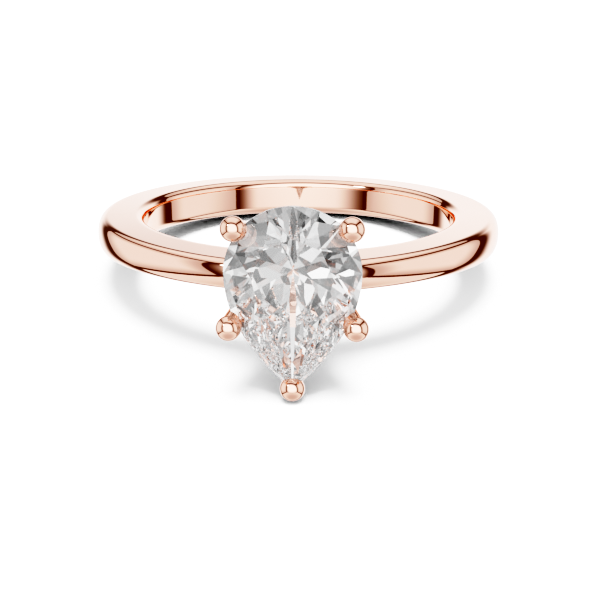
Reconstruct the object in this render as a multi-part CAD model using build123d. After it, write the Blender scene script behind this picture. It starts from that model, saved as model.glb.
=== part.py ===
from build123d import *
import math
import os

# Solitaire engagement ring: plain tapering band, five-prong wire head, one pear brilliant.
# Millimetres. Row frame: the ring as it rests on a table, lying on the back of the band and
# on the tip prong. +Z up, the head faces -Y, origin at the centre of the footprint on the table.
# Everything is first drawn in the ring's own frame: band axis along +Z through the origin,
# head towards -Y. The last step tips the whole ring by TILT and sets it on the table.

# ---- band -------------------------------------------------------------------------------
R_IN = 8.25          # bore radius, ring size US 6 (16.5 mm across)
FLAT_T = 1.85        # bore to the outer edge of the flat side face
RISE, RISE_END = 0.75, math.radians(50)   # shoulders: the flat side deepens towards the head ...
RISE_HEAD = math.radians(18)              # ... and levels off under the head
DOME = 0.56          # how far the outer face bulges past the flat side face
DOME_K = 0.64        # fullness of the outer bulge (0.55 would be an ellipse)
COMFORT_R = 0.42     # comfort-fit rounding of both inner edges
HW_0, HW_1, HW_2 = 0.936, 0.156, -0.077   # half width = HW_0 + HW_1*(y/10) + HW_2*(y/10)^2
BAND_STEPS = 18      # loft sections per half turn

# ---- stone (pear brilliant) -------------------------------------------------------------
STONE_HALF_W = 3.00  # half width at the belly
STONE_ZC = 0.90      # height of the belly and of the culet over the band's mid plane
STONE_TOP = 2.95     # belly to the round end
STONE_TIP = 5.30     # belly to the point
GIRDLE_D = 13.35     # girdle's mid plane from the band's axis
GIRDLE_T = 0.20
CROWN_H = 0.86
PAV_H = 2.46
LOWER_HALF = 0.76    # depth, as a fraction of the pavilion, where neighbouring lower halves meet
TABLE_F = 0.585      # table size as a fraction of the outline
TABLE_TIP_F = 0.70   # the same towards the point
GIRDLE_SIDES = 96

# ---- prongs -----------------------------------------------------------------------------
BALL_R = 0.555       # ball on the end of each prong
WIRE_R = 0.47        # prong wire under the ball
WIRE_R_FOOT = 0.46   # prong radius at its foot
BALL_D = 13.91       # centres of the four upper balls from the band's axis
TIP_BALL_D = 13.67   # the same for the tip ball
FOOT_D = 10.42       # foot of the prongs
REACH = 1.553        # how far the foot is set in from the ball, along the lean
PRONGS = {           # ball centre (x, z) and the direction of the lean
    "prong_upper_left": ((-2.523, 2.959), (0.707, -0.707)),
    "prong_upper_right": ((2.523, 2.959), (-0.707, -0.707)),
    "prong_lower_left": ((-2.763, -1.427), (0.742, 0.670)),
    "prong_lower_right": ((2.763, -1.427), (-0.742, 0.670)),
    "prong_tip": ((0.0, -4.26), (0.0, 1.0)),
}

# ---- rails: centre line through (x, z) points of the right half, top to point -----------------
GALLERY_PTS = [(0.0, 2.53), (1.48, 1.85), (1.85, 0.72), (1.668, -0.50), (0.0, -2.767)]
GALLERY_D = (11.30, 11.80)       # depth span
GALLERY_W = 0.52                 # wire width
BASE_PTS = [(0.0, 2.08), (1.216, 1.586), (1.50, 0.70), (1.392, -0.2525), (0.0, -2.395)]
BASE_D = (10.44, 11.04)
BASE_W = 0.70


def pear(a, zc, top, tip, n=96):
    """Pear outline: half ellipse over the belly, parabola sides down to the point."""
    right = []
    half = n // 4
    for i in range(half + 1):
        w = math.radians(90.0 * i / half)
        right.append((a * math.sin(w), zc + top * math.cos(w)))
    for i in range(1, half + 1):
        u = i / half
        right.append((a * (1 - u * u), zc - tip * u))
    left = [(-x, z) for x, z in reversed(right[1:-1])]
    return right + left


def rail_line(pts, n=8):
    """Smooth closed line through the mirrored points, n steps a span: (x, z, normal x, normal z)."""
    ring = pts + [(-x, z) for x, z in reversed(pts[1:-1])]
    m = len(ring)
    knots = [0.0]
    for i in range(m):
        a, b = ring[i], ring[(i + 1) % m]
        knots.append(knots[-1] + math.hypot(b[0] - a[0], b[1] - a[1]) ** 0.5)
    total = knots[-1]

    def knot(i):
        return knots[i % m] + total * (i // m)

    def lerp(p, q, ta, tb, t):
        k = (t - ta) / (tb - ta)
        return (p[0] + (q[0] - p[0]) * k, p[1] + (q[1] - p[1]) * k)

    def at(i, t):
        p = [ring[(i + j) % m] for j in (-1, 0, 1, 2)]
        k = [knot(i + j) for j in (-1, 0, 1, 2)]
        a1, a2, a3 = lerp(p[0], p[1], k[0], k[1], t), lerp(p[1], p[2], k[1], k[2], t), lerp(p[2], p[3], k[2], k[3], t)
        b1, b2 = lerp(a1, a2, k[0], k[2], t), lerp(a2, a3, k[1], k[3], t)
        return lerp(b1, b2, k[1], k[2], t)

    line = []
    for i in range(m):
        for j in range(n):
            line.append(at(i, knot(i) + (knot(i + 1) - knot(i)) * j / n))
    out, c = [], len(line)
    for i in range(c):
        (x0, z0), (x2, z2) = line[i - 1], line[(i + 1) % c]
        k = math.hypot(x2 - x0, z2 - z0)
        out.append((line[i][0], line[i][1], -(z2 - z0) / k, (x2 - x0) / k))
    return out


# ---- small vector helpers ---------------------------------------------------------------
def sub(a, b):
    return (a[0] - b[0], a[1] - b[1], a[2] - b[2])


def dot(a, b):
    return a[0] * b[0] + a[1] * b[1] + a[2] * b[2]


def cross(a, b):
    return (a[1] * b[2] - a[2] * b[1], a[2] * b[0] - a[0] * b[2], a[0] * b[1] - a[1] * b[0])


def unit(a):
    k = math.sqrt(dot(a, a))
    return (a[0] / k, a[1] / k, a[2] / k)


def plane3(a, b, c, inside):
    n = unit(cross(sub(b, a), sub(c, a)))
    if dot(n, sub(inside, a)) > 0:
        n = (-n[0], -n[1], -n[2])
    return (n, dot(n, a))


def meet(p, q, r):
    """Common point of three planes."""
    (n1, d1), (n2, d2), (n3, d3) = p, q, r
    c23, c31, c12 = cross(n2, n3), cross(n3, n1), cross(n1, n2)
    k = dot(n1, c23)
    return tuple((d1 * c23[i] + d2 * c31[i] + d3 * c12[i]) / k for i in range(3))


# ---- facets of the pear brilliant, in (x, z, height over the girdle's mid plane) -----------
def outline_at(deg):
    """Point of the outline in the direction deg from the culet, and its tangent."""
    w = math.radians(deg)
    c, s = math.cos(w), math.sin(w)
    if s >= 0:
        r = 1.0 / math.sqrt((c / STONE_HALF_W) ** 2 + (s / STONE_TOP) ** 2)
        x, z = r * c, r * s
        t = (-z / STONE_TOP ** 2, x / STONE_HALF_W ** 2)
    else:
        # x = a(1-u^2), z = -tip*u, on the ray x*s = z*c
        a, tip = STONE_HALF_W, STONE_TIP
        if abs(c) < 1e-9:
            u = 1.0
        else:
            k = abs(s / c) * a / tip
            u = (-1 + math.sqrt(1 + 4 * k * k)) / (2 * k)
        x, z = math.copysign(a * (1 - u * u), c) if u < 1 else 0.0, -tip * u
        t = (math.copysign(2 * a * u, c), tip) if u < 1 else (1.0, 0.0)
    k = math.hypot(*t)
    return (x, z + STONE_ZC), (t[0] / k, t[1] / k)


MAINS = [90, 45, 0, -52.5, -90, -127.5, 180, 135]
HALVES = [67.5, 22.5, -26.5, -74, -106, -153.5, 157.5, 112.5]


def stone_planes():
    centre = (0.0, STONE_ZC, 0.0)
    g = GIRDLE_T / 2
    k_pt, k_tan, g_pt = [], [], []
    for a in MAINS:
        p, t = outline_at(a)
        k_pt.append(p)
        k_tan.append(t)
    for a in HALVES:
        g_pt.append(outline_at(a)[0])
    planes = [((0.0, 0.0, 1.0), g + CROWN_H)]
    kites, tables = [], []
    for i, (p, t) in enumerate(zip(k_pt, k_tan)):
        f = TABLE_TIP_F if MAINS[i] == -90 else TABLE_F
        if MAINS[i] in (-52.5, -127.5):
            f = 0.5 * (TABLE_F + TABLE_TIP_F) - 0.02
        tb = (p[0] * f, STONE_ZC + (p[1] - STONE_ZC) * f, g + CROWN_H)
        tables.append(tb)
        kites.append(plane3(tb, (p[0], p[1], g), (p[0] + t[0], p[1] + t[1], g), centre))
    planes += kites
    mains = []
    culet = (0.0, STONE_ZC, -g - PAV_H)
    for p, t in zip(k_pt, k_tan):
        mains.append(plane3(culet, (p[0], p[1], -g), (p[0] + t[0], p[1] + t[1], -g), centre))
    planes += mains
    n = len(MAINS)
    for i in range(n):
        j = (i + 1) % n
        star = meet(kites[i], kites[j], ((0.0, 0.0, 1.0), g + 0.46 * CROWN_H))
        planes.append(plane3(tables[i], tables[j], star, centre))
        gp = g_pt[i]
        low = meet(mains[i], mains[j], ((0.0, 0.0, 1.0), -g - LOWER_HALF * PAV_H))
        for kp in (k_pt[i], k_pt[j]):
            planes.append(plane3(star, (kp[0], kp[1], g), (gp[0], gp[1], g), centre))
            planes.append(plane3(low, (kp[0], kp[1], -g), (gp[0], gp[1], -g), centre))
    planes.append(((0.0, 0.0, -1.0), g + PAV_H - 0.03))      # tiny culet facet
    return planes


def head_plane(d):
    """Sketch plane across the head at depth d: local x = ring x, local y = ring z, normal -Y."""
    return Plane(origin=(0, -d, 0), x_dir=(1, 0, 0), z_dir=(0, -1, 0))


def make_stone():
    pts = pear(STONE_HALF_W, STONE_ZC, STONE_TOP, STONE_TIP, GIRDLE_SIDES)
    face = head_plane(GIRDLE_D - PAV_H - 0.4) * make_face(Polyline(*pts, close=True))
    body = extrude(face, amount=PAV_H + CROWN_H + 0.8)
    for (n, d) in stone_planes():
        # (x, z, h) -> ring frame (x, -(GIRDLE_D + h), z)
        o = (n[0] * d, -(GIRDLE_D + n[2] * d), n[1] * d)
        body = split(body, bisect_by=Plane(origin=o, z_dir=(n[0], -n[2], n[1])), keep=Keep.BOTTOM)
    return body


# ---- band -------------------------------------------------------------------------------
def half_w(y):
    return HW_0 + HW_1 * (y / 10.0) + HW_2 * (y / 10.0) ** 2


def flat_t(phi):
    """Bore to the outer edge of the flat side, at phi from the head."""
    a = abs(phi)
    if a >= RISE_HEAD:
        return FLAT_T + RISE * max(0.0, 1 - a / RISE_END) ** 2
    top = 1 - RISE_HEAD / RISE_END
    slope = 2 * RISE * top / RISE_END
    return FLAT_T + RISE * top ** 2 + slope * RISE_HEAD * (1 - (a / RISE_HEAD) ** 4) / 4


def band_section(phi):
    """Band cross-section at phi from the head, as a face in the plane through the axis."""
    k, q = 0.5523, DOME_K
    ri, rf = R_IN, R_IN + flat_t(phi)
    ro = rf + DOME
    rc = ri + COMFORT_R
    hi = half_w(-rc * math.cos(phi))
    hm = half_w(-(R_IN + FLAT_T) * math.cos(phi))
    hb = hi - COMFORT_R - 0.10
    rs = ri - 0.05                 # stock left inside the bore, turned away below
    sx, sy = math.sin(phi), -math.cos(phi)

    def at(rho, z):
        return Vector(rho * sx, rho * sy, z)

    e = [
        Line(at(rs, -hb), at(rs, hb)),
        Bezier(at(rs, hb), at(rs + 0.08, hb + 0.22), at(rc - k * COMFORT_R, hi), at(rc, hi)),
        Line(at(rc, hi), at(rf, hm)),
        Bezier(at(rf, hm), at(rf + q * DOME, hm), at(ro, q * hm), at(ro, 0)),
        Bezier(at(ro, 0), at(ro, -q * hm), at(rf + q * DOME, -hm), at(rf, -hm)),
        Line(at(rf, -hm), at(rc, -hi)),
        Bezier(at(rc, -hi), at(rc - k * COMFORT_R, -hi), at(rs + 0.08, -hb - 0.22), at(rs, -hb)),
    ]
    return make_face(Wire([x for c in e for x in c.edges()]))


def make_band():
    secs = [band_section(math.pi * i / BAND_STEPS) for i in range(BAND_STEPS + 1)]
    right = loft(secs)
    whole = right + mirror(right, about=Plane.YZ)
    return whole - Cylinder(R_IN, 6)      # the bore is a true cylinder


# ---- head -------------------------------------------------------------------------------
def make_prong(ball, lean, ball_d):
    k = math.hypot(*lean)
    top = Vector(ball[0], -ball_d, ball[1])
    foot = Vector(ball[0] + lean[0] / k * REACH, -FOOT_D, ball[1] + lean[1] / k * REACH)
    axis = top - foot
    pl = Plane(origin=foot, z_dir=axis)
    shaft = pl * Cone(WIRE_R_FOOT, WIRE_R, axis.length, align=(Align.CENTER, Align.CENTER, Align.MIN))
    return shaft + Pos(top.X, top.Y, top.Z) * Sphere(BALL_R)


def make_rail(pts, span, width, soften):
    line = rail_line(pts)

    def ring(d):
        loc = head_plane(span[0])
        p = [loc.from_local_coords(Vector(x + nx * d, z + nz * d, 0)) for x, z, nx, nz in line[::2]]
        return make_face(Wire([Spline(*p, periodic=True).edge()]))

    depth = span[1] - span[0]
    out = extrude(ring(width / 2), amount=depth, dir=(0, -1, 0))
    out = fillet(out.edges(), soften)
    return out - extrude(ring(-width / 2), amount=depth + 0.2, dir=(0, -1, 0))


band = make_band()
stone = make_stone()
prongs = {name: make_prong(*v, TIP_BALL_D if name == "prong_tip" else BALL_D) - stone for name, v in PRONGS.items()}
gallery = make_rail(GALLERY_PTS, GALLERY_D, GALLERY_W, 0.16)
base = make_rail(BASE_PTS, BASE_D, BASE_W, 0.18)
for p in prongs.values():
    gallery = gallery - p
    base = base - p
    band = band - p
gallery = gallery - stone
base = base - stone
band = band - base

# ---- rest pose: the tilt that puts the back of the band and the tip ball on the table --------
BACK_FLAT = R_IN + FLAT_T
BACK_HW = half_w(BACK_FLAT)
BULGE = []               # the outer bulge from the flat side to the crest, as fractions
for i in range(2001):
    u = i / 2000
    rise = 3 * u * (1 - u) ** 2 * DOME_K + 3 * u * u * (1 - u) + u ** 3
    BULGE.append((rise, (1 - u) ** 3 + 3 * u * (1 - u) ** 2 + 3 * u * u * (1 - u) * DOME_K))


def rest_heights(t):
    s, c = math.sin(t), math.cos(t)
    back = -max((BACK_FLAT + DOME * a) * s + BACK_HW * b * c for a, b in BULGE)
    tip_ball = PRONGS["prong_tip"][0]
    tip = TIP_BALL_D * s + tip_ball[1] * c - BALL_R
    return back, tip


lo, hi = math.radians(2), math.radians(25)
for _ in range(60):
    m = 0.5 * (lo + hi)
    b, tp = rest_heights(m)
    if b > tp:
        lo = m
    else:
        hi = m
TILT = 0.5 * (lo + hi)
Z_SHIFT = -min(rest_heights(TILT))
FRONT_Y = -(TIP_BALL_D * math.cos(TILT) - PRONGS["prong_tip"][0][1] * math.sin(TILT) + BALL_R)
BACK_Y = max((BACK_FLAT + DOME * a) * math.cos(TILT) + BACK_HW * b * math.sin(TILT) for a, b in BULGE)
Y_SHIFT = -0.5 * (FRONT_Y + BACK_Y)
print("tilt_deg", math.degrees(TILT), "y_shift", Y_SHIFT, "z_shift", Z_SHIFT)


def place(s):
    return Pos(0, Y_SHIFT, Z_SHIFT) * (Rot(X=-math.degrees(TILT)) * s)


parts = {"shank": band, "centre_stone": stone, "gallery_rail": gallery, "base_rail": base}
parts.update(prongs)
os.makedirs("parts", exist_ok=True)
for name, shape in parts.items():
    s = place(shape)
    solids = s.solids()
    s = solids[0] if len(solids) == 1 else Compound(children=list(solids))
    export_step(s, "parts/" + name + ".step")
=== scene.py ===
import math

import bpy
import numpy as np
from mathutils import Matrix


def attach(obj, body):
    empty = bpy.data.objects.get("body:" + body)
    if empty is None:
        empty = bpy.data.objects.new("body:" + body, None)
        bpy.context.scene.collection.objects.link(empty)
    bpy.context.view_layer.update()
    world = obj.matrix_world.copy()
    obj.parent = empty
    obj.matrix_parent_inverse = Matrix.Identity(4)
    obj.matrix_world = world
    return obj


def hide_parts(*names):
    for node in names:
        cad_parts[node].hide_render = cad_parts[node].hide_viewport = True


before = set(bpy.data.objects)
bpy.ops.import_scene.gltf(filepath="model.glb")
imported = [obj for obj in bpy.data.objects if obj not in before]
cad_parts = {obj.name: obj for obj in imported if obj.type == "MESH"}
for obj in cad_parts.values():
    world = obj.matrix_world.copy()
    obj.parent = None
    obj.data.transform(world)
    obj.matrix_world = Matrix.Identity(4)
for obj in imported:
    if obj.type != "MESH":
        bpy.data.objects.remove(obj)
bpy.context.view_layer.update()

MM = 0.001

# ------------------------------------------------------------------------------------------
# Camera
# ------------------------------------------------------------------------------------------
cam_data = bpy.data.cameras.new("camera")
cam = bpy.data.objects.new("camera", cam_data)
bpy.context.scene.collection.objects.link(cam)
CAM_POS = np.array([1.15635742, -58.36869316, 26.51285115])
CAM_RIGHT = np.array([0.99983960, 0.01790571, 0.00039072])
CAM_UP = np.array([-0.00793965, 0.42357765, 0.90582500])
CAM_FWD = np.array([-0.01605394, 0.90568282, -0.42365187])
m = Matrix.Identity(4)
for i in range(3):
    m[i][0], m[i][1], m[i][2], m[i][3] = CAM_RIGHT[i], CAM_UP[i], -CAM_FWD[i], CAM_POS[i] * MM
cam.matrix_world = m
cam_data.sensor_fit = "HORIZONTAL"
cam_data.sensor_width = 36.0
cam_data.lens = 72.194
cam_data.clip_start = 0.001
cam_data.clip_end = 10.0
bpy.context.scene.camera = cam

# ------------------------------------------------------------------------------------------
# The ring's own frame (band axis +Z, head towards -Y, millimetres) and its rest pose
# ------------------------------------------------------------------------------------------
R_IN, FLAT_T, DOME, COMFORT_R = 8.25, 1.85, 0.56, 0.42
R_OUT = R_IN + FLAT_T + DOME
HW_0, HW_1, HW_2 = 0.936, 0.156, -0.077
RISE, RISE_END, RISE_HEAD = 0.75, math.radians(50), math.radians(18)
DOME_K = 0.64
STONE_HALF_W, STONE_ZC, STONE_TOP, STONE_TIP = 3.00, 0.90, 2.95, 5.30
GIRDLE_D, GIRDLE_T, CROWN_H, PAV_H = 13.35, 0.20, 0.86, 2.46
TABLE_F, TABLE_TIP_F = 0.585, 0.70
LOWER_HALF = 0.76
BALL_R, WIRE_R, WIRE_R_FOOT, BALL_D, TIP_BALL_D, FOOT_D, REACH = 0.555, 0.47, 0.46, 13.91, 13.67, 10.42, 1.553
PRONGS = {
    "prong_upper_left": ((-2.523, 2.959), (0.707, -0.707)),
    "prong_upper_right": ((2.523, 2.959), (-0.707, -0.707)),
    "prong_lower_left": ((-2.763, -1.427), (0.742, 0.670)),
    "prong_lower_right": ((2.763, -1.427), (-0.742, 0.670)),
    "prong_tip": ((0.0, -4.26), (0.0, 1.0)),
}
GALLERY_PTS = [(0.0, 2.53), (1.48, 1.85), (1.85, 0.72), (1.668, -0.50), (0.0, -2.767)]
GALLERY_D, GALLERY_W = (11.30, 11.80), 0.52
BASE_PTS = [(0.0, 2.08), (1.216, 1.586), (1.50, 0.70), (1.392, -0.2525), (0.0, -2.395)]
BASE_D, BASE_W = (10.44, 11.04), 0.70

TILT = math.radians(9.084401944987656)
Y_SHIFT, Z_SHIFT = 2.083606197170621, 2.6032200286145413


def place(p):
    """Ring frame in mm to the row frame in metres; p is an (n, 3) array."""
    p = np.asarray(p, float)
    c, s = math.cos(TILT), math.sin(TILT)
    out = np.empty_like(p)
    out[:, 0] = p[:, 0]
    out[:, 1] = p[:, 1] * c + p[:, 2] * s + Y_SHIFT
    out[:, 2] = -p[:, 1] * s + p[:, 2] * c + Z_SHIFT
    return out * MM


def place_dir(p):
    c, s = math.cos(TILT), math.sin(TILT)
    return np.array([p[0], p[1] * c + p[2] * s, -p[1] * s + p[2] * c])


def new_mesh(name, verts, faces, smooth=True):
    me = bpy.data.meshes.new(name)
    me.from_pydata([tuple(v) for v in verts], [], [tuple(int(i) for i in f) for f in faces])
    me.validate(clean_customdata=False)
    me.polygons.foreach_set("use_smooth", [smooth] * len(me.polygons))
    me.update()
    ob = bpy.data.objects.new(name, me)
    bpy.context.scene.collection.objects.link(ob)
    return ob


def grid_faces(nu, nv, close_u=True, close_v=True):
    """Quads of an nu by nv grid of points stored row by row."""
    faces = []
    for i in range(nu if close_u else nu - 1):
        a, b = i * nv, ((i + 1) % nu) * nv
        for j in range(nv if close_v else nv - 1):
            k = (j + 1) % nv
            faces.append((a + j, b + j, b + k, a + k))
    return faces


def sharpen(ob, degrees):
    """Edges that turn by more than this stay sharp under smooth shading."""
    import bmesh
    bm = bmesh.new()
    bm.from_mesh(ob.data)
    bmesh.ops.recalc_face_normals(bm, faces=bm.faces)
    lim = math.radians(degrees)
    for e in bm.edges:
        e.smooth = not (len(e.link_faces) == 2 and e.calc_face_angle(0.0) > lim)
    bm.to_mesh(ob.data)
    bm.free()


# ------------------------------------------------------------------------------------------
# Band: flat polished sides, a low domed outside, comfort-fit rounding inside
# ------------------------------------------------------------------------------------------
def half_w(y):
    return HW_0 + HW_1 * (y / 10.0) + HW_2 * (y / 10.0) ** 2


def flat_t(phi):
    """Thickness of the flat side; the shoulders rise towards the head."""
    a = abs((phi + math.pi) % (2 * math.pi) - math.pi)
    if a >= RISE_HEAD:
        return FLAT_T + RISE * max(0.0, 1 - a / RISE_END) ** 2
    top = 1 - RISE_HEAD / RISE_END
    slope = 2 * RISE * top / RISE_END
    return FLAT_T + RISE * top ** 2 + slope * RISE_HEAD * (1 - (a / RISE_HEAD) ** 4) / 4


def band_profile(phi):
    """Closed section at phi: list of (radius, z)."""
    ft = flat_t(phi)
    hi = half_w(-(R_IN + COMFORT_R) * math.cos(phi))
    hm = half_w(-(R_IN + FLAT_T) * math.cos(phi))
    hb = hi - COMFORT_R
    pts = []
    nb, nc, ns, nd = 8, 14, 10, 30
    half = []
    for i in range(nb):                                   # bore flat, from the middle out
        half.append((R_IN, hb * i / nb))
    for i in range(nc):                                   # comfort rounding
        w = 0.5 * math.pi * i / nc
        half.append((R_IN + COMFORT_R * (1 - math.cos(w)), hb + COMFORT_R * math.sin(w)))
    for i in range(ns):                                   # flat side
        k = i / ns
        half.append((R_IN + COMFORT_R + (ft - COMFORT_R) * k, hi + (hm - hi) * k))
    for i in range(nd):                                   # dome
        u = i / nd
        a = 3 * u * (1 - u) ** 2 * DOME_K + 3 * u * u * (1 - u) + u ** 3
        b = (1 - u) ** 3 + 3 * u * (1 - u) ** 2 + 3 * u * u * (1 - u) * DOME_K
        half.append((R_IN + ft + DOME * a, hm * b))
    half.append((R_IN + ft + DOME, 0.0))
    pts = half + [(r, -z) for r, z in reversed(half[1:-1])]
    return pts


def make_band():
    nu = 720
    verts = []
    for i in range(nu):
        phi = 2 * math.pi * i / nu
        s, c = math.sin(phi), -math.cos(phi)
        for r, z in band_profile(phi):
            verts.append((r * s, r * c, z))
    nv = len(band_profile(0.0))
    ob = new_mesh("band", place(verts), grid_faces(nu, nv))
    sharpen(ob, 30)
    return ob


# ------------------------------------------------------------------------------------------
# Stone: the pear brilliant cut from a prism by its facet planes
# ------------------------------------------------------------------------------------------
def unit(a):
    a = np.asarray(a, float)
    return a / np.linalg.norm(a)


def plane3(a, b, c, inside):
    a, b, c = (np.asarray(v, float) for v in (a, b, c))
    n = unit(np.cross(b - a, c - a))
    if n @ (np.asarray(inside, float) - a) > 0:
        n = -n
    return n, float(n @ a)


def meet(*planes):
    a = np.array([p[0] for p in planes], float)
    b = np.array([p[1] for p in planes], float)
    return np.linalg.solve(a, b)


def outline_at(deg):
    w = math.radians(deg)
    c, s = math.cos(w), math.sin(w)
    if s >= 0:
        r = 1.0 / math.sqrt((c / STONE_HALF_W) ** 2 + (s / STONE_TOP) ** 2)
        x, z = r * c, r * s
        t = (-z / STONE_TOP ** 2, x / STONE_HALF_W ** 2)
    else:
        a, tip = STONE_HALF_W, STONE_TIP
        if abs(c) < 1e-9:
            u = 1.0
        else:
            k = abs(s / c) * a / tip
            u = (-1 + math.sqrt(1 + 4 * k * k)) / (2 * k)
        x, z = math.copysign(a * (1 - u * u), c) if u < 1 else 0.0, -tip * u
        t = (math.copysign(2 * a * u, c), tip) if u < 1 else (1.0, 0.0)
    k = math.hypot(*t)
    return (x, z + STONE_ZC), (t[0] / k, t[1] / k)


MAINS = [90, 45, 0, -52.5, -90, -127.5, 180, 135]
HALVES = [67.5, 22.5, -26.5, -74, -106, -153.5, 157.5, 112.5]


def stone_planes():
    centre = (0.0, STONE_ZC, 0.0)
    g = GIRDLE_T / 2
    k_pt, k_tan = zip(*[outline_at(a) for a in MAINS])
    g_pt = [outline_at(a)[0] for a in HALVES]
    up = np.array([0.0, 0.0, 1.0])
    planes = [(up, g + CROWN_H)]
    kites, tables, mains = [], [], []
    for i, (p, t) in enumerate(zip(k_pt, k_tan)):
        f = TABLE_TIP_F if MAINS[i] == -90 else TABLE_F
        if MAINS[i] in (-52.5, -127.5):
            f = 0.5 * (TABLE_F + TABLE_TIP_F) - 0.02
        tb = (p[0] * f, STONE_ZC + (p[1] - STONE_ZC) * f, g + CROWN_H)
        tables.append(tb)
        kites.append(plane3(tb, (p[0], p[1], g), (p[0] + t[0], p[1] + t[1], g), centre))
    culet = (0.0, STONE_ZC, -g - PAV_H)
    for p, t in zip(k_pt, k_tan):
        mains.append(plane3(culet, (p[0], p[1], -g), (p[0] + t[0], p[1] + t[1], -g), centre))
    planes += kites + mains
    n = len(MAINS)
    for i in range(n):
        j = (i + 1) % n
        star = meet(kites[i], kites[j], (up, g + 0.46 * CROWN_H))
        planes.append(plane3(tables[i], tables[j], star, centre))
        gp = g_pt[i]
        low = meet(mains[i], mains[j], (up, -g - LOWER_HALF * PAV_H))
        for kp in (k_pt[i], k_pt[j]):
            planes.append(plane3(star, (kp[0], kp[1], g), (gp[0], gp[1], g), centre))
            planes.append(plane3(low, (kp[0], kp[1], -g), (gp[0], gp[1], -g), centre))
    planes.append((np.array([0.0, 0.0, -1.0]), g + PAV_H - 0.03))
    return planes


def clip_convex(polys, n, d):
    """Cut a convex body given as polygons by the half space n.p <= d."""
    out, cut = [], []
    for poly in polys:
        h = poly @ n - d
        h[np.abs(h) < 1e-9] = 0.0
        if (h <= 0).all():
            out.append(poly)
            if (h == 0).sum() >= 2 and not (h == 0).all():
                cut += [p for p, k in zip(poly, h) if k == 0]
            continue
        if (h >= 0).all():
            continue
        new = []
        for i in range(len(poly)):
            a, b, ha, hb = poly[i], poly[(i + 1) % len(poly)], h[i], h[(i + 1) % len(poly)]
            if ha <= 0:
                new.append(a)
                if ha == 0:
                    cut.append(a)
            if (ha < 0 < hb) or (hb < 0 < ha):
                q = a + (b - a) * (ha / (ha - hb))
                new.append(q)
                cut.append(q)
        if len(new) >= 3:
            out.append(np.array(new))
    uniq = {}
    for q in cut:
        uniq.setdefault(tuple(np.round(q, 6)), q)
    if len(uniq) >= 3:
        q = np.array(list(uniq.values()))
        c = q.mean(0)
        e1 = unit(np.cross(n, (0.3, 0.5, 0.81)))
        e2 = np.cross(n, e1)
        ang = np.arctan2((q - c) @ e2, (q - c) @ e1)
        out.append(q[np.argsort(ang)])
    return out


def stone_polys(grow=0.0, sides=288):
    """Polygons of the stone in (x, z, height) space; grow pushes every plane out."""
    ring = []
    half = sides // 4
    for i in range(half + 1):
        w = math.radians(90.0 * i / half)
        ring.append((STONE_HALF_W * math.sin(w), STONE_ZC + STONE_TOP * math.cos(w)))
    for i in range(1, half + 1):
        u = i / half
        ring.append((STONE_HALF_W * (1 - u * u), STONE_ZC - STONE_TIP * u))
    ring += [(-x, z) for x, z in reversed(ring[1:-1])]
    ring = np.array(ring)
    if grow:
        c = np.array([0.0, STONE_ZC])
        t = np.roll(ring, -1, 0) - np.roll(ring, 1, 0)
        nrm = np.stack([-t[:, 1], t[:, 0]], 1)
        nrm /= np.linalg.norm(nrm, axis=1)[:, None]
        nrm *= np.sign(((ring - c) * nrm).sum(1))[:, None]
        ring = ring + nrm * grow
    lo, hi = -PAV_H - 0.4, CROWN_H + 0.4
    n = len(ring)
    bottom = np.array([(x, z, lo) for x, z in ring])
    top = np.array([(x, z, hi) for x, z in ring])
    polys = [bottom[::-1], top]
    for i in range(n):
        j = (i + 1) % n
        polys.append(np.array([bottom[i], bottom[j], top[j], top[i]]))
    for nn, d in stone_planes():
        polys = clip_convex(polys, nn, d + grow)
    return polys


def polys_to_mesh(name, polys, to_ring, smooth=False):
    index, verts, faces = {}, [], []
    for poly in polys:
        f = []
        for p in poly:
            key = tuple(np.round(p, 5))
            if key not in index:
                index[key] = len(verts)
                verts.append(to_ring(p))
            if not f or f[-1] != index[key]:
                f.append(index[key])
        if len(f) > 1 and f[0] == f[-1]:
            f.pop()
        if len(f) >= 3:
            faces.append(f)
    ob = new_mesh(name, place(verts), faces, smooth)
    import bmesh
    bm = bmesh.new()
    bm.from_mesh(ob.data)
    bmesh.ops.recalc_face_normals(bm, faces=bm.faces)
    bm.to_mesh(ob.data)
    bm.free()
    return ob


def head_to_ring(p):
    """(x, z, height over the girdle's mid plane) to the ring's frame."""
    return (p[0], -(GIRDLE_D + p[2]), p[1])


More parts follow.
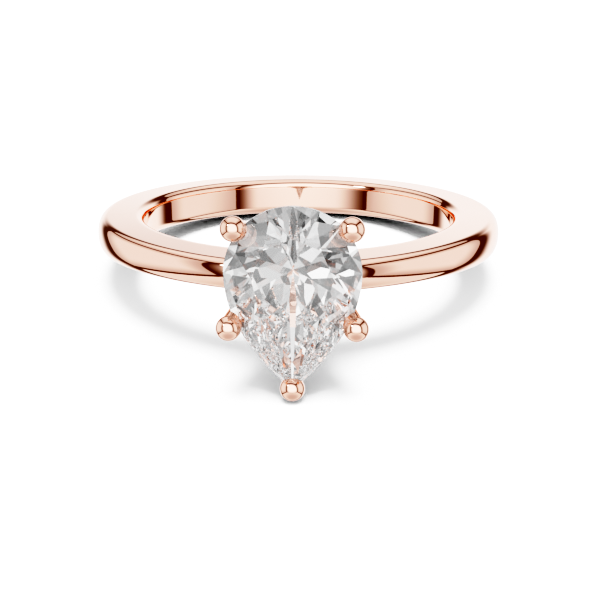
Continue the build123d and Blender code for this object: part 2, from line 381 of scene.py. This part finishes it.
# ------------------------------------------------------------------------------------------
# Prongs: a slightly tapered wire with a ball end, notched to the stone
# ------------------------------------------------------------------------------------------
def make_prong(name, ball, lean, ball_d):
    k = math.hypot(*lean)
    top = np.array([ball[0], -ball_d, ball[1]])
    foot = np.array([ball[0] + lean[0] / k * REACH, -FOOT_D, ball[1] + lean[1] / k * REACH])
    axis = top - foot
    length = np.linalg.norm(axis)
    w = axis / length
    u = unit(np.cross(w, (1.0, 0.0, 0.3)))
    v = np.cross(w, u)
    prof = [(0.0, WIRE_R_FOOT * 0.5), (0.0, WIRE_R_FOOT)]
    neck = math.sqrt(BALL_R ** 2 - WIRE_R ** 2)            # where the wire runs into the ball
    for i in range(1, 28):
        t = i / 28
        prof.append(((length - neck) * t, WIRE_R_FOOT + (WIRE_R - WIRE_R_FOOT) * t))
    nb, a0 = 60, -math.asin(neck / BALL_R)
    for i in range(nb):
        a = a0 + (0.5 * math.pi - a0) * i / nb
        prof.append((length + BALL_R * math.sin(a), BALL_R * math.cos(a)))
    ns = 96
    verts = [foot]
    for h, r in prof:
        for j in range(ns):
            a = 2 * math.pi * j / ns
            verts.append(foot + w * h + r * (math.cos(a) * u + math.sin(a) * v))
    verts.append(foot + w * (length + BALL_R))
    faces = []
    for j in range(ns):
        faces.append((0, 1 + (j + 1) % ns, 1 + j))
    for i in range(len(prof) - 1):
        a, b = 1 + i * ns, 1 + (i + 1) * ns
        for j in range(ns):
            q = (j + 1) % ns
            faces.append((a + j, a + q, b + q, b + j))
    last, b = len(verts) - 1, 1 + (len(prof) - 1) * ns
    for j in range(ns):
        faces.append((b + j, b + (j + 1) % ns, last))
    return new_mesh(name, place(verts), faces)


def cut_by(ob, cutter):
    """Exact boolean difference, applied to the mesh."""
    mod = ob.modifiers.new("notch", "BOOLEAN")
    mod.operation = "DIFFERENCE"
    mod.solver = "EXACT"
    mod.object = cutter
    dg = bpy.context.evaluated_depsgraph_get()
    me = bpy.data.meshes.new_from_object(ob.evaluated_get(dg))
    ob.modifiers.clear()
    old = ob.data
    ob.data = me
    bpy.data.meshes.remove(old)
    ob.data.polygons.foreach_set("use_smooth", [True] * len(ob.data.polygons))
    sharpen(ob, 28)


# ------------------------------------------------------------------------------------------
# Rails: rounded wires swept round the head
# ------------------------------------------------------------------------------------------
def rail_line(pts, n=48):
    ring = pts + [(-x, z) for x, z in reversed(pts[1:-1])]
    mm = len(ring)
    knots = [0.0]
    for i in range(mm):
        a, b = ring[i], ring[(i + 1) % mm]
        knots.append(knots[-1] + math.hypot(b[0] - a[0], b[1] - a[1]) ** 0.5)
    total = knots[-1]

    def knot(i):
        return knots[i % mm] + total * (i // mm)

    def lerp(p, q, ta, tb, t):
        k = (t - ta) / (tb - ta)
        return (p[0] + (q[0] - p[0]) * k, p[1] + (q[1] - p[1]) * k)

    def at(i, t):
        p = [ring[(i + j) % mm] for j in (-1, 0, 1, 2)]
        k = [knot(i + j) for j in (-1, 0, 1, 2)]
        a1, a2, a3 = lerp(p[0], p[1], k[0], k[1], t), lerp(p[1], p[2], k[1], k[2], t), lerp(p[2], p[3], k[2], k[3], t)
        b1, b2 = lerp(a1, a2, k[0], k[2], t), lerp(a2, a3, k[1], k[3], t)
        return lerp(b1, b2, k[1], k[2], t)

    line = []
    for i in range(mm):
        for j in range(n):
            line.append(at(i, knot(i) + (knot(i + 1) - knot(i)) * j / n))
    out, c = [], len(line)
    for i in range(c):
        (x0, z0), (x2, z2) = line[i - 1], line[(i + 1) % c]
        k = math.hypot(x2 - x0, z2 - z0)
        out.append((line[i][0], line[i][1], -(z2 - z0) / k, (x2 - x0) / k))
    return out


def rounded_rect(w, h, r, n=7):
    pts = []
    for cx, cy, a0 in ((w / 2 - r, h / 2 - r, 0), (-w / 2 + r, h / 2 - r, 90), (-w / 2 + r, -h / 2 + r, 180), (w / 2 - r, -h / 2 + r, 270)):
        for i in range(n + 1):
            a = math.radians(a0 + 90 * i / n)
            pts.append((cx + r * math.cos(a), cy + r * math.sin(a)))
    return pts


def make_rail(name, pts, span, width, soft):
    line = rail_line(pts)
    sec = rounded_rect(width, span[1] - span[0], soft)
    mid = 0.5 * (span[0] + span[1])
    verts = []
    for x, z, nx, nz in line:
        for a, b in sec:
            verts.append((x + nx * a, -(mid + b), z + nz * a))
    ob = new_mesh(name, place(verts), grid_faces(len(line), len(sec)))
    sharpen(ob, 40)
    return ob


# ------------------------------------------------------------------------------------------
# Materials
# ------------------------------------------------------------------------------------------
def nodes_of(mat):
    mat.use_nodes = True
    nt = mat.node_tree
    nt.nodes.clear()
    return nt, nt.nodes, nt.links


def gold(name, tint=(0.955, 0.640, 0.540), tone=0.012, rough=(0.008, 0.030), wave=0.0000012, scale=900.0):
    """Polished rose gold: faint tone drift of the alloy, buffing haze in the roughness, hairlines from wear."""
    mat = bpy.data.materials.new(name)
    nt, N, L = nodes_of(mat)
    out = N.new("ShaderNodeOutputMaterial")
    b = N.new("ShaderNodeBsdfPrincipled")
    b.inputs["Metallic"].default_value = 1.0
    b.inputs["IOR"].default_value = 1.5
    tc = N.new("ShaderNodeTexCoord")

    drift = N.new("ShaderNodeTexNoise")
    drift.inputs["Scale"].default_value = scale * 0.25
    drift.inputs["Detail"].default_value = 3.0
    L.new(tc.outputs["Object"], drift.inputs["Vector"])
    ramp = N.new("ShaderNodeValToRGB")
    ramp.color_ramp.elements[0].position, ramp.color_ramp.elements[1].position = 0.3, 0.7
    ramp.color_ramp.elements[0].color = (tint[0] * (1 - tone), tint[1] * (1 - 1.6 * tone), tint[2] * (1 - 2.0 * tone), 1)
    ramp.color_ramp.elements[1].color = (min(tint[0] * (1 + tone), 0.99), tint[1] * (1 + 1.2 * tone), tint[2] * (1 + 1.5 * tone), 1)
    L.new(drift.outputs["Fac"], ramp.inputs["Fac"])
    L.new(ramp.outputs["Color"], b.inputs["Base Color"])

    haze = N.new("ShaderNodeTexNoise")
    haze.inputs["Scale"].default_value = scale
    haze.inputs["Detail"].default_value = 5.0
    haze.inputs["Roughness"].default_value = 0.6
    L.new(tc.outputs["Object"], haze.inputs["Vector"])
    hair = N.new("ShaderNodeTexNoise")                 # buffing hairlines: noise stretched one way
    mp = N.new("ShaderNodeMapping")
    mp.inputs["Scale"].default_value = (1.0, 9.0, 26.0)
    mp.inputs["Rotation"].default_value = (0.4, 0.7, 0.3)
    L.new(tc.outputs["Object"], mp.inputs["Vector"])
    hair.inputs["Scale"].default_value = scale * 1.4
    hair.inputs["Detail"].default_value = 2.0
    L.new(mp.outputs["Vector"], hair.inputs["Vector"])
    mul = N.new("ShaderNodeMath")
    mul.operation = "MULTIPLY"
    L.new(haze.outputs["Fac"], mul.inputs[0])
    L.new(hair.outputs["Fac"], mul.inputs[1])
    rr = N.new("ShaderNodeMapRange")
    rr.inputs["From Min"].default_value, rr.inputs["From Max"].default_value = 0.12, 0.42
    rr.inputs["To Min"].default_value, rr.inputs["To Max"].default_value = rough
    L.new(mul.outputs[0], rr.inputs["Value"])
    L.new(rr.outputs["Result"], b.inputs["Roughness"])

    bump = N.new("ShaderNodeBump")
    bump.inputs["Strength"].default_value = 0.15
    bump.inputs["Distance"].default_value = wave
    L.new(hair.outputs["Fac"], bump.inputs["Height"])
    L.new(bump.outputs["Normal"], b.inputs["Normal"])
    L.new(b.outputs["BSDF"], out.inputs["Surface"])
    return mat


def diamond(name):
    """Clear stone; the facets are bright with a trace of polish lines."""
    mat = bpy.data.materials.new(name)
    nt, N, L = nodes_of(mat)
    out = N.new("ShaderNodeOutputMaterial")
    b = N.new("ShaderNodeBsdfPrincipled")
    b.inputs["Base Color"].default_value = (1.0, 1.0, 1.0, 1.0)
    b.inputs["Transmission Weight"].default_value = 1.0
    b.inputs["IOR"].default_value = 2.15        # under diamond's 2.42, so that the facets still read at this size
    tc = N.new("ShaderNodeTexCoord")
    lines = N.new("ShaderNodeTexNoise")
    lines.inputs["Scale"].default_value = 1500.0
    lines.inputs["Detail"].default_value = 4.0
    L.new(tc.outputs["Object"], lines.inputs["Vector"])
    rr = N.new("ShaderNodeMapRange")
    rr.inputs["From Min"].default_value, rr.inputs["From Max"].default_value = 0.35, 0.8
    rr.inputs["To Min"].default_value, rr.inputs["To Max"].default_value = 0.0, 0.004
    L.new(lines.outputs["Fac"], rr.inputs["Value"])
    L.new(rr.outputs["Result"], b.inputs["Roughness"])
    L.new(b.outputs["BSDF"], out.inputs["Surface"])
    return mat


# ------------------------------------------------------------------------------------------
# Pieces
# ------------------------------------------------------------------------------------------
pieces = {}
band = make_band()
pieces["shank"] = (band, "rose_gold_band")
stone = polys_to_mesh("pear_stone", stone_polys(), head_to_ring)
pieces["centre_stone"] = (stone, "diamond")
cutter = polys_to_mesh("notch_cutter", stone_polys(grow=0.012, sides=96), head_to_ring)
for name, (ball, lean) in PRONGS.items():
    ob = make_prong(name.replace("prong_", "claw_"), ball, lean, TIP_BALL_D if name == "prong_tip" else BALL_D)
    cut_by(ob, cutter)
    pieces[name] = (ob, "rose_gold_prongs")
rail_g = make_rail("rail_gallery", GALLERY_PTS, GALLERY_D, GALLERY_W, 0.16)
cut_by(rail_g, cutter)
pieces["gallery_rail"] = (rail_g, "rose_gold_rails")
rail_b = make_rail("rail_base", BASE_PTS, BASE_D, BASE_W, 0.18)
cut_by(rail_b, cutter)
pieces["base_rail"] = (rail_b, "rose_gold_rails")
bpy.data.objects.remove(cutter)

mats = {
    "rose_gold_band": gold("rose_gold_band_polish"),
    "rose_gold_prongs": gold("rose_gold_prong_polish", tone=0.008, rough=(0.006, 0.022), wave=0.0000006, scale=1400.0),
    "rose_gold_rails": gold("rose_gold_rail_polish", tone=0.015, rough=(0.015, 0.05), wave=0.0000015, scale=1200.0),
    "diamond": diamond("diamond_cut"),
}
for node, (ob, slot) in pieces.items():
    ob.data.materials.clear()
    ob.data.materials.append(mats[slot])
    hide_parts(node)
    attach(ob, "root")
    if node in ("prong_tip", "gallery_rail", "base_rail"):
        ob.visible_glossy = False        # keeps the inside of the band's mirror image clear
        ob.visible_transmission = False  # and the stone's

# ------------------------------------------------------------------------------------------
# Floor
# ------------------------------------------------------------------------------------------
floor = new_mesh("floor", [(-1.5, -1.5, 0), (1.5, -1.5, 0), (1.5, 1.5, 0), (-1.5, 1.5, 0)], [(0, 1, 2, 3)], False)
fm = bpy.data.materials.new("pale_floor")
nt, N, L = nodes_of(fm)
fo = N.new("ShaderNodeOutputMaterial")
fb = N.new("ShaderNodeBsdfDiffuse")
fn = N.new("ShaderNodeTexNoise")
fn.inputs["Scale"].default_value = 40.0
fr = N.new("ShaderNodeValToRGB")
fr.color_ramp.elements[0].color = (0.90, 0.90, 0.90, 1)
fr.color_ramp.elements[1].color = (0.92, 0.92, 0.92, 1)
ft = N.new("ShaderNodeTexCoord")
L.new(ft.outputs["Object"], fn.inputs["Vector"])
L.new(fn.outputs["Fac"], fr.inputs["Fac"])
L.new(fr.outputs["Color"], fb.inputs["Color"])
painted_fill_glow = N.new("ShaderNodeEmission")                     # painted fill light: a faint even glow on the floor that lifts the shade under the band from black to grey, standing in for light the metal throws onto the floor
painted_fill_glow.inputs["Strength"].default_value = 0.055
L.new(fr.outputs["Color"], painted_fill_glow.inputs["Color"])
fa = N.new("ShaderNodeAddShader")
L.new(fb.outputs["BSDF"], fa.inputs[0])
L.new(painted_fill_glow.outputs["Emission"], fa.inputs[1])
L.new(fa.outputs[0], fo.inputs["Surface"])
floor.data.materials.append(fm)
floor.visible_glossy = False
floor.visible_transmission = False

# ------------------------------------------------------------------------------------------
# Soft studio: a light tent of white panels with narrow dark seams, and soft lamps on the floor
# ------------------------------------------------------------------------------------------
FLOOR_SKY = 0.85      # what the floor is lit by all round
SEAM_LUM = 0.13
PANEL_EDGE, PANEL_MID = 0.42, 0.69
STONE_SCALE = 3.2


def aim(az, el):
    """az from -Y (the camera's side) towards +X, el over the horizon, in degrees."""
    a, e = math.radians(az), math.radians(el)
    return np.array([math.sin(a) * math.cos(e), -math.cos(a) * math.cos(e), math.sin(e)])


F = {"LL": aim(-50, -10), "LR": aim(48.5, -9), "UR": aim(61, 53.5), "UL": aim(-82, 50)}
B = {"LL": aim(-115, -37), "LR": aim(108, -38), "UR": aim(137, 22), "UL": aim(-147, 12)}
FRONT_C = aim(0, 25)
BACK_C = aim(180, -25)

world = bpy.data.worlds.new("studio")
bpy.context.scene.world = world
world.use_nodes = True
nt = world.node_tree
nt.nodes.clear()
N, L = nt.nodes, nt.links


def put(sock, val):
    if isinstance(val, (int, float)):
        sock.default_value = float(val)
    else:
        L.new(val, sock)


def mth(op, a, b=None, c=None, clamp=False):
    n = N.new("ShaderNodeMath")
    n.operation = op
    n.use_clamp = clamp
    put(n.inputs[0], a)
    if b is not None:
        put(n.inputs[1], b)
    if c is not None:
        put(n.inputs[2], c)
    return n.outputs[0]


def dotv(vec):
    n = N.new("ShaderNodeVectorMath")
    n.operation = "DOT_PRODUCT"
    L.new(direction, n.inputs[0])
    n.inputs[1].default_value = tuple(float(x) for x in vec)
    return n.outputs["Value"]


def smooth(x, lo, hi, a=0.0, b=1.0):
    n = N.new("ShaderNodeMapRange")
    n.interpolation_type = "SMOOTHSTEP"
    put(n.inputs["Value"], x)
    n.inputs["From Min"].default_value = lo
    n.inputs["From Max"].default_value = hi
    put(n.inputs["To Min"], a)
    put(n.inputs["To Max"], b)
    return n.outputs["Result"]


def mix(fac, a, b):
    """a where fac is 0, b where it is 1."""
    n = N.new("ShaderNodeMix")
    n.data_type = "FLOAT"
    put(n.inputs[0], fac)
    put(n.inputs[2], a)
    put(n.inputs[3], b)
    return n.outputs[0]


tcw = N.new("ShaderNodeTexCoord")
nrm = N.new("ShaderNodeVectorMath")
nrm.operation = "NORMALIZE"
L.new(tcw.outputs["Generated"], nrm.inputs[0])
direction = nrm.outputs["Vector"]


def edge(a, b, inside):
    n = unit(np.cross(a, b))
    return n if n @ inside > 0 else -n


E_F = {
    "bottom": edge(F["LL"], F["LR"], FRONT_C),
    "right": edge(F["LR"], F["UR"], FRONT_C),
    "top": edge(F["UR"], F["UL"], FRONT_C),
    "left": edge(F["UL"], F["LL"], FRONT_C),
}
E_B = {
    "bottom": edge(B["LL"], B["LR"], BACK_C),
    "right": edge(B["LR"], B["UR"], BACK_C),
    "top": edge(B["UR"], B["UL"], BACK_C),
    "left": edge(B["UL"], B["LL"], BACK_C),
}
# half widths of the dark seams, in radians
W_F = {"bottom": 0.016, "right": 0.030, "top": 0.045, "left": 0.030}
W_B = {"bottom": 0.060, "right": 0.075, "top": 0.060, "left": 0.060}
W_D = {"LL": 0.040, "LR": 0.040, "UR": 0.075, "UL": 0.045}


def fold(op, items):
    out = None
    for it in items:
        out = it if out is None else mth(op, out, it)
    return out


f_dist = {k: dotv(v) for k, v in E_F.items()}        # positive inside the front panel
b_dist = {k: dotv(v) for k, v in E_B.items()}        # positive inside the back opening
f_in = fold("MINIMUM", [mth("SUBTRACT", f_dist[k], W_F[k]) for k in f_dist])      # past the seam, inwards
f_out = fold("MINIMUM", [mth("ADD", f_dist[k], W_F[k]) for k in f_dist])          # negative past the seam, outwards
b_in = fold("MINIMUM", [mth("SUBTRACT", b_dist[k], W_B[k]) for k in b_dist])
b_out = fold("MINIMUM", [mth("ADD", b_dist[k], W_B[k]) for k in b_dist])
diag, down = [], None
for k in ("LL", "LR", "UR", "UL"):
    n = unit(np.cross(F[k], B[k]))
    mid = unit(F[k] + B[k])
    far = smooth(dotv(mid), 0.02, 0.12, 2.0, 0.0)      # only the near half of each great circle counts
    diag.append(mth("SUBTRACT", mth("ADD", mth("ABSOLUTE", dotv(n)), far), W_D[k]))
    if k in ("LL", "LR"):
        nd = n if n @ np.array([0, 0, -1.0]) > 0 else -n
        down = dotv(nd) if down is None else mth("MINIMUM", down, dotv(nd))
diag = fold("MINIMUM", diag)
# distance from the nearest seam, for a point on a side panel
side_edge = fold("MINIMUM", [mth("MULTIPLY", f_out, -1.0), mth("MULTIPLY", b_out, -1.0), diag])
is_down = smooth(down, -0.02, 0.02)

nadir = dotv(aim(0, -58))
down_lum = smooth(nadir, math.cos(math.radians(52)), 1.0, 0.66, 0.43)
panel_lum = smooth(side_edge, 0.0, 0.27, PANEL_EDGE, PANEL_MID)
side_lum = mix(is_down, panel_lum, down_lum)
front_peak = smooth(f_dist["bottom"], 0.0, 0.42, 0.62, 1.08)
front_vig = mth("MULTIPLY", smooth(f_dist["left"], 0.01, 0.42), smooth(f_dist["right"], 0.01, 0.30))
front_vig = mth("MULTIPLY", front_vig, smooth(f_dist["top"], 0.02, 0.34))
front_lum = mix(front_vig, 0.15, front_peak)
back_lum = smooth(b_in, -0.02, 0.24, SEAM_LUM, 0.84)

lum = mix(smooth(side_edge, -0.006, 0.012), SEAM_LUM, side_lum)
lum = mix(smooth(b_in, -0.03, 0.0), lum, back_lum)
lum = mix(smooth(f_in, -0.012, 0.012), lum, front_lum)
thin = mix(smooth(fold("MINIMUM", [f_dist["left"], f_dist["right"]]), 0.05, 0.12), 0.0, smooth(mth("ABSOLUTE", f_dist["bottom"]), 0.0, 0.05, 0.16, 0.0))
lum = mth("ADD", lum, thin)
spot = smooth(dotv(aim(-62, 45)), math.cos(0.085), math.cos(0.055), 0.0, 6.0)
lum = mth("ADD", lum, spot)

# what the stone sees: the same tent, broken up by the cards that give a cut stone its contrast
cards = N.new("ShaderNodeTexVoronoi")
cards.voronoi_dimensions = "3D"
cards.feature = "F1"
cards.inputs["Scale"].default_value = STONE_SCALE
cards.inputs["Randomness"].default_value = 1.0
off = N.new("ShaderNodeVectorMath")
off.operation = "ADD"
L.new(direction, off.inputs[0])
off.inputs[1].default_value = (3.1, 1.7, 5.3)
L.new(off.outputs["Vector"], cards.inputs["Vector"])
sep = N.new("ShaderNodeSeparateColor")
L.new(cards.outputs["Color"], sep.inputs[0])
cr = N.new("ShaderNodeValToRGB")
cr.color_ramp.interpolation = "LINEAR"
els = cr.color_ramp.elements
els[0].position, els[0].color = 0.0, (0.06, 0.06, 0.06, 1)
els[1].position, els[1].color = 1.0, (1.05, 1.05, 1.05, 1)
for pos, val in ((0.12, 0.07), (0.22, 0.16), (0.42, 0.26), (0.66, 0.42), (0.88, 0.64)):
    e = els.new(pos)
    e.color = (val, val, val, 1)
L.new(sep.outputs[0], cr.inputs["Fac"])
csep = N.new("ShaderNodeSeparateColor")
L.new(cr.outputs["Color"], csep.inputs[0])
stone_lum = mix(0.10, csep.outputs[0], lum)
stone_lum = mth("MULTIPLY", stone_lum, smooth(dotv((0.0, 0.0, 1.0)), -0.45, 0.05, 0.62, 1.0))      # dark table side

lp = N.new("ShaderNodeLightPath")
lum = mix(lp.outputs["Is Transmission Ray"], lum, stone_lum)
lum = mix(lp.outputs["Is Diffuse Ray"], lum, FLOOR_SKY)
lum = mix(lp.outputs["Is Camera Ray"], lum, 1.5)
bg = N.new("ShaderNodeBackground")
comb = N.new("ShaderNodeCombineColor")
for i in range(3):
    L.new(lum, comb.inputs[i])
L.new(comb.outputs[0], bg.inputs["Color"])
bg.inputs["Strength"].default_value = 1.0
wo = N.new("ShaderNodeOutputWorld")
L.new(bg.outputs[0], wo.inputs["Surface"])


def softbox(name, az, el, dist, size, watts, color=(1, 1, 1)):
    ld = bpy.data.lights.new(name, "AREA")
    ld.shape = "DISK"
    ld.size = size
    ld.energy = watts
    ld.color = color
    ob = bpy.data.objects.new(name, ld)
    bpy.context.scene.collection.objects.link(ob)
    d = aim(az, el)
    z = unit(d)
    x = unit(np.cross((0.0, 1.0, 0.01), z))
    y = np.cross(z, x)
    mw = Matrix.Identity(4)
    for i in range(3):
        mw[i][0], mw[i][1], mw[i][2], mw[i][3] = x[i], y[i], z[i], d[i] * dist
    ob.matrix_world = mw
    ob.visible_glossy = False
    ob.visible_transmission = False
    ob.visible_camera = False
    return ob


softbox("overhead_softbox", 0, 87, 0.30, 0.18, 0.98)

# ------------------------------------------------------------------------------------------
# Tone: a plain sRGB view with the print-like contrast curve of the studio picture
# ------------------------------------------------------------------------------------------
sc = bpy.context.scene
sc.view_settings.view_transform = "Standard"
sc.view_settings.look = "None"
sc.view_settings.exposure = 0.0
sc.view_settings.gamma = 1.0
TONE = [(0, 0), (0.09, 0.003), (0.135, 0.065), (0.202, 0.24), (0.301, 0.48), (0.449, 0.73), (0.67, 0.896), (1.0, 0.982), (1.25, 1.0)]
sc.view_settings.use_curve_mapping = True
cm = sc.view_settings.curve_mapping
cm.white_level = (1.25, 1.25, 1.25)
curve = cm.curves[3]
while len(curve.points) > 2:
    curve.points.remove(curve.points[1])
xs = [(x / 1.25, y) for x, y in TONE]
curve.points[0].location = xs[0]
curve.points[-1].location = xs[-1]
for x, y in xs[1:-1]:
    curve.points.new(x, y)
cm.update()

sc.cycles.max_bounces = 40
sc.cycles.transmission_bounces = 40
sc.cycles.glossy_bounces = 40
sc.cycles.diffuse_bounces = 3
sc.cycles.transparent_max_bounces = 8
sc.cycles.caustics_reflective = False
sc.cycles.caustics_refractive = False
sc.cycles.sample_clamp_indirect = 0.0
sc.cycles.blur_glossy = 0.0
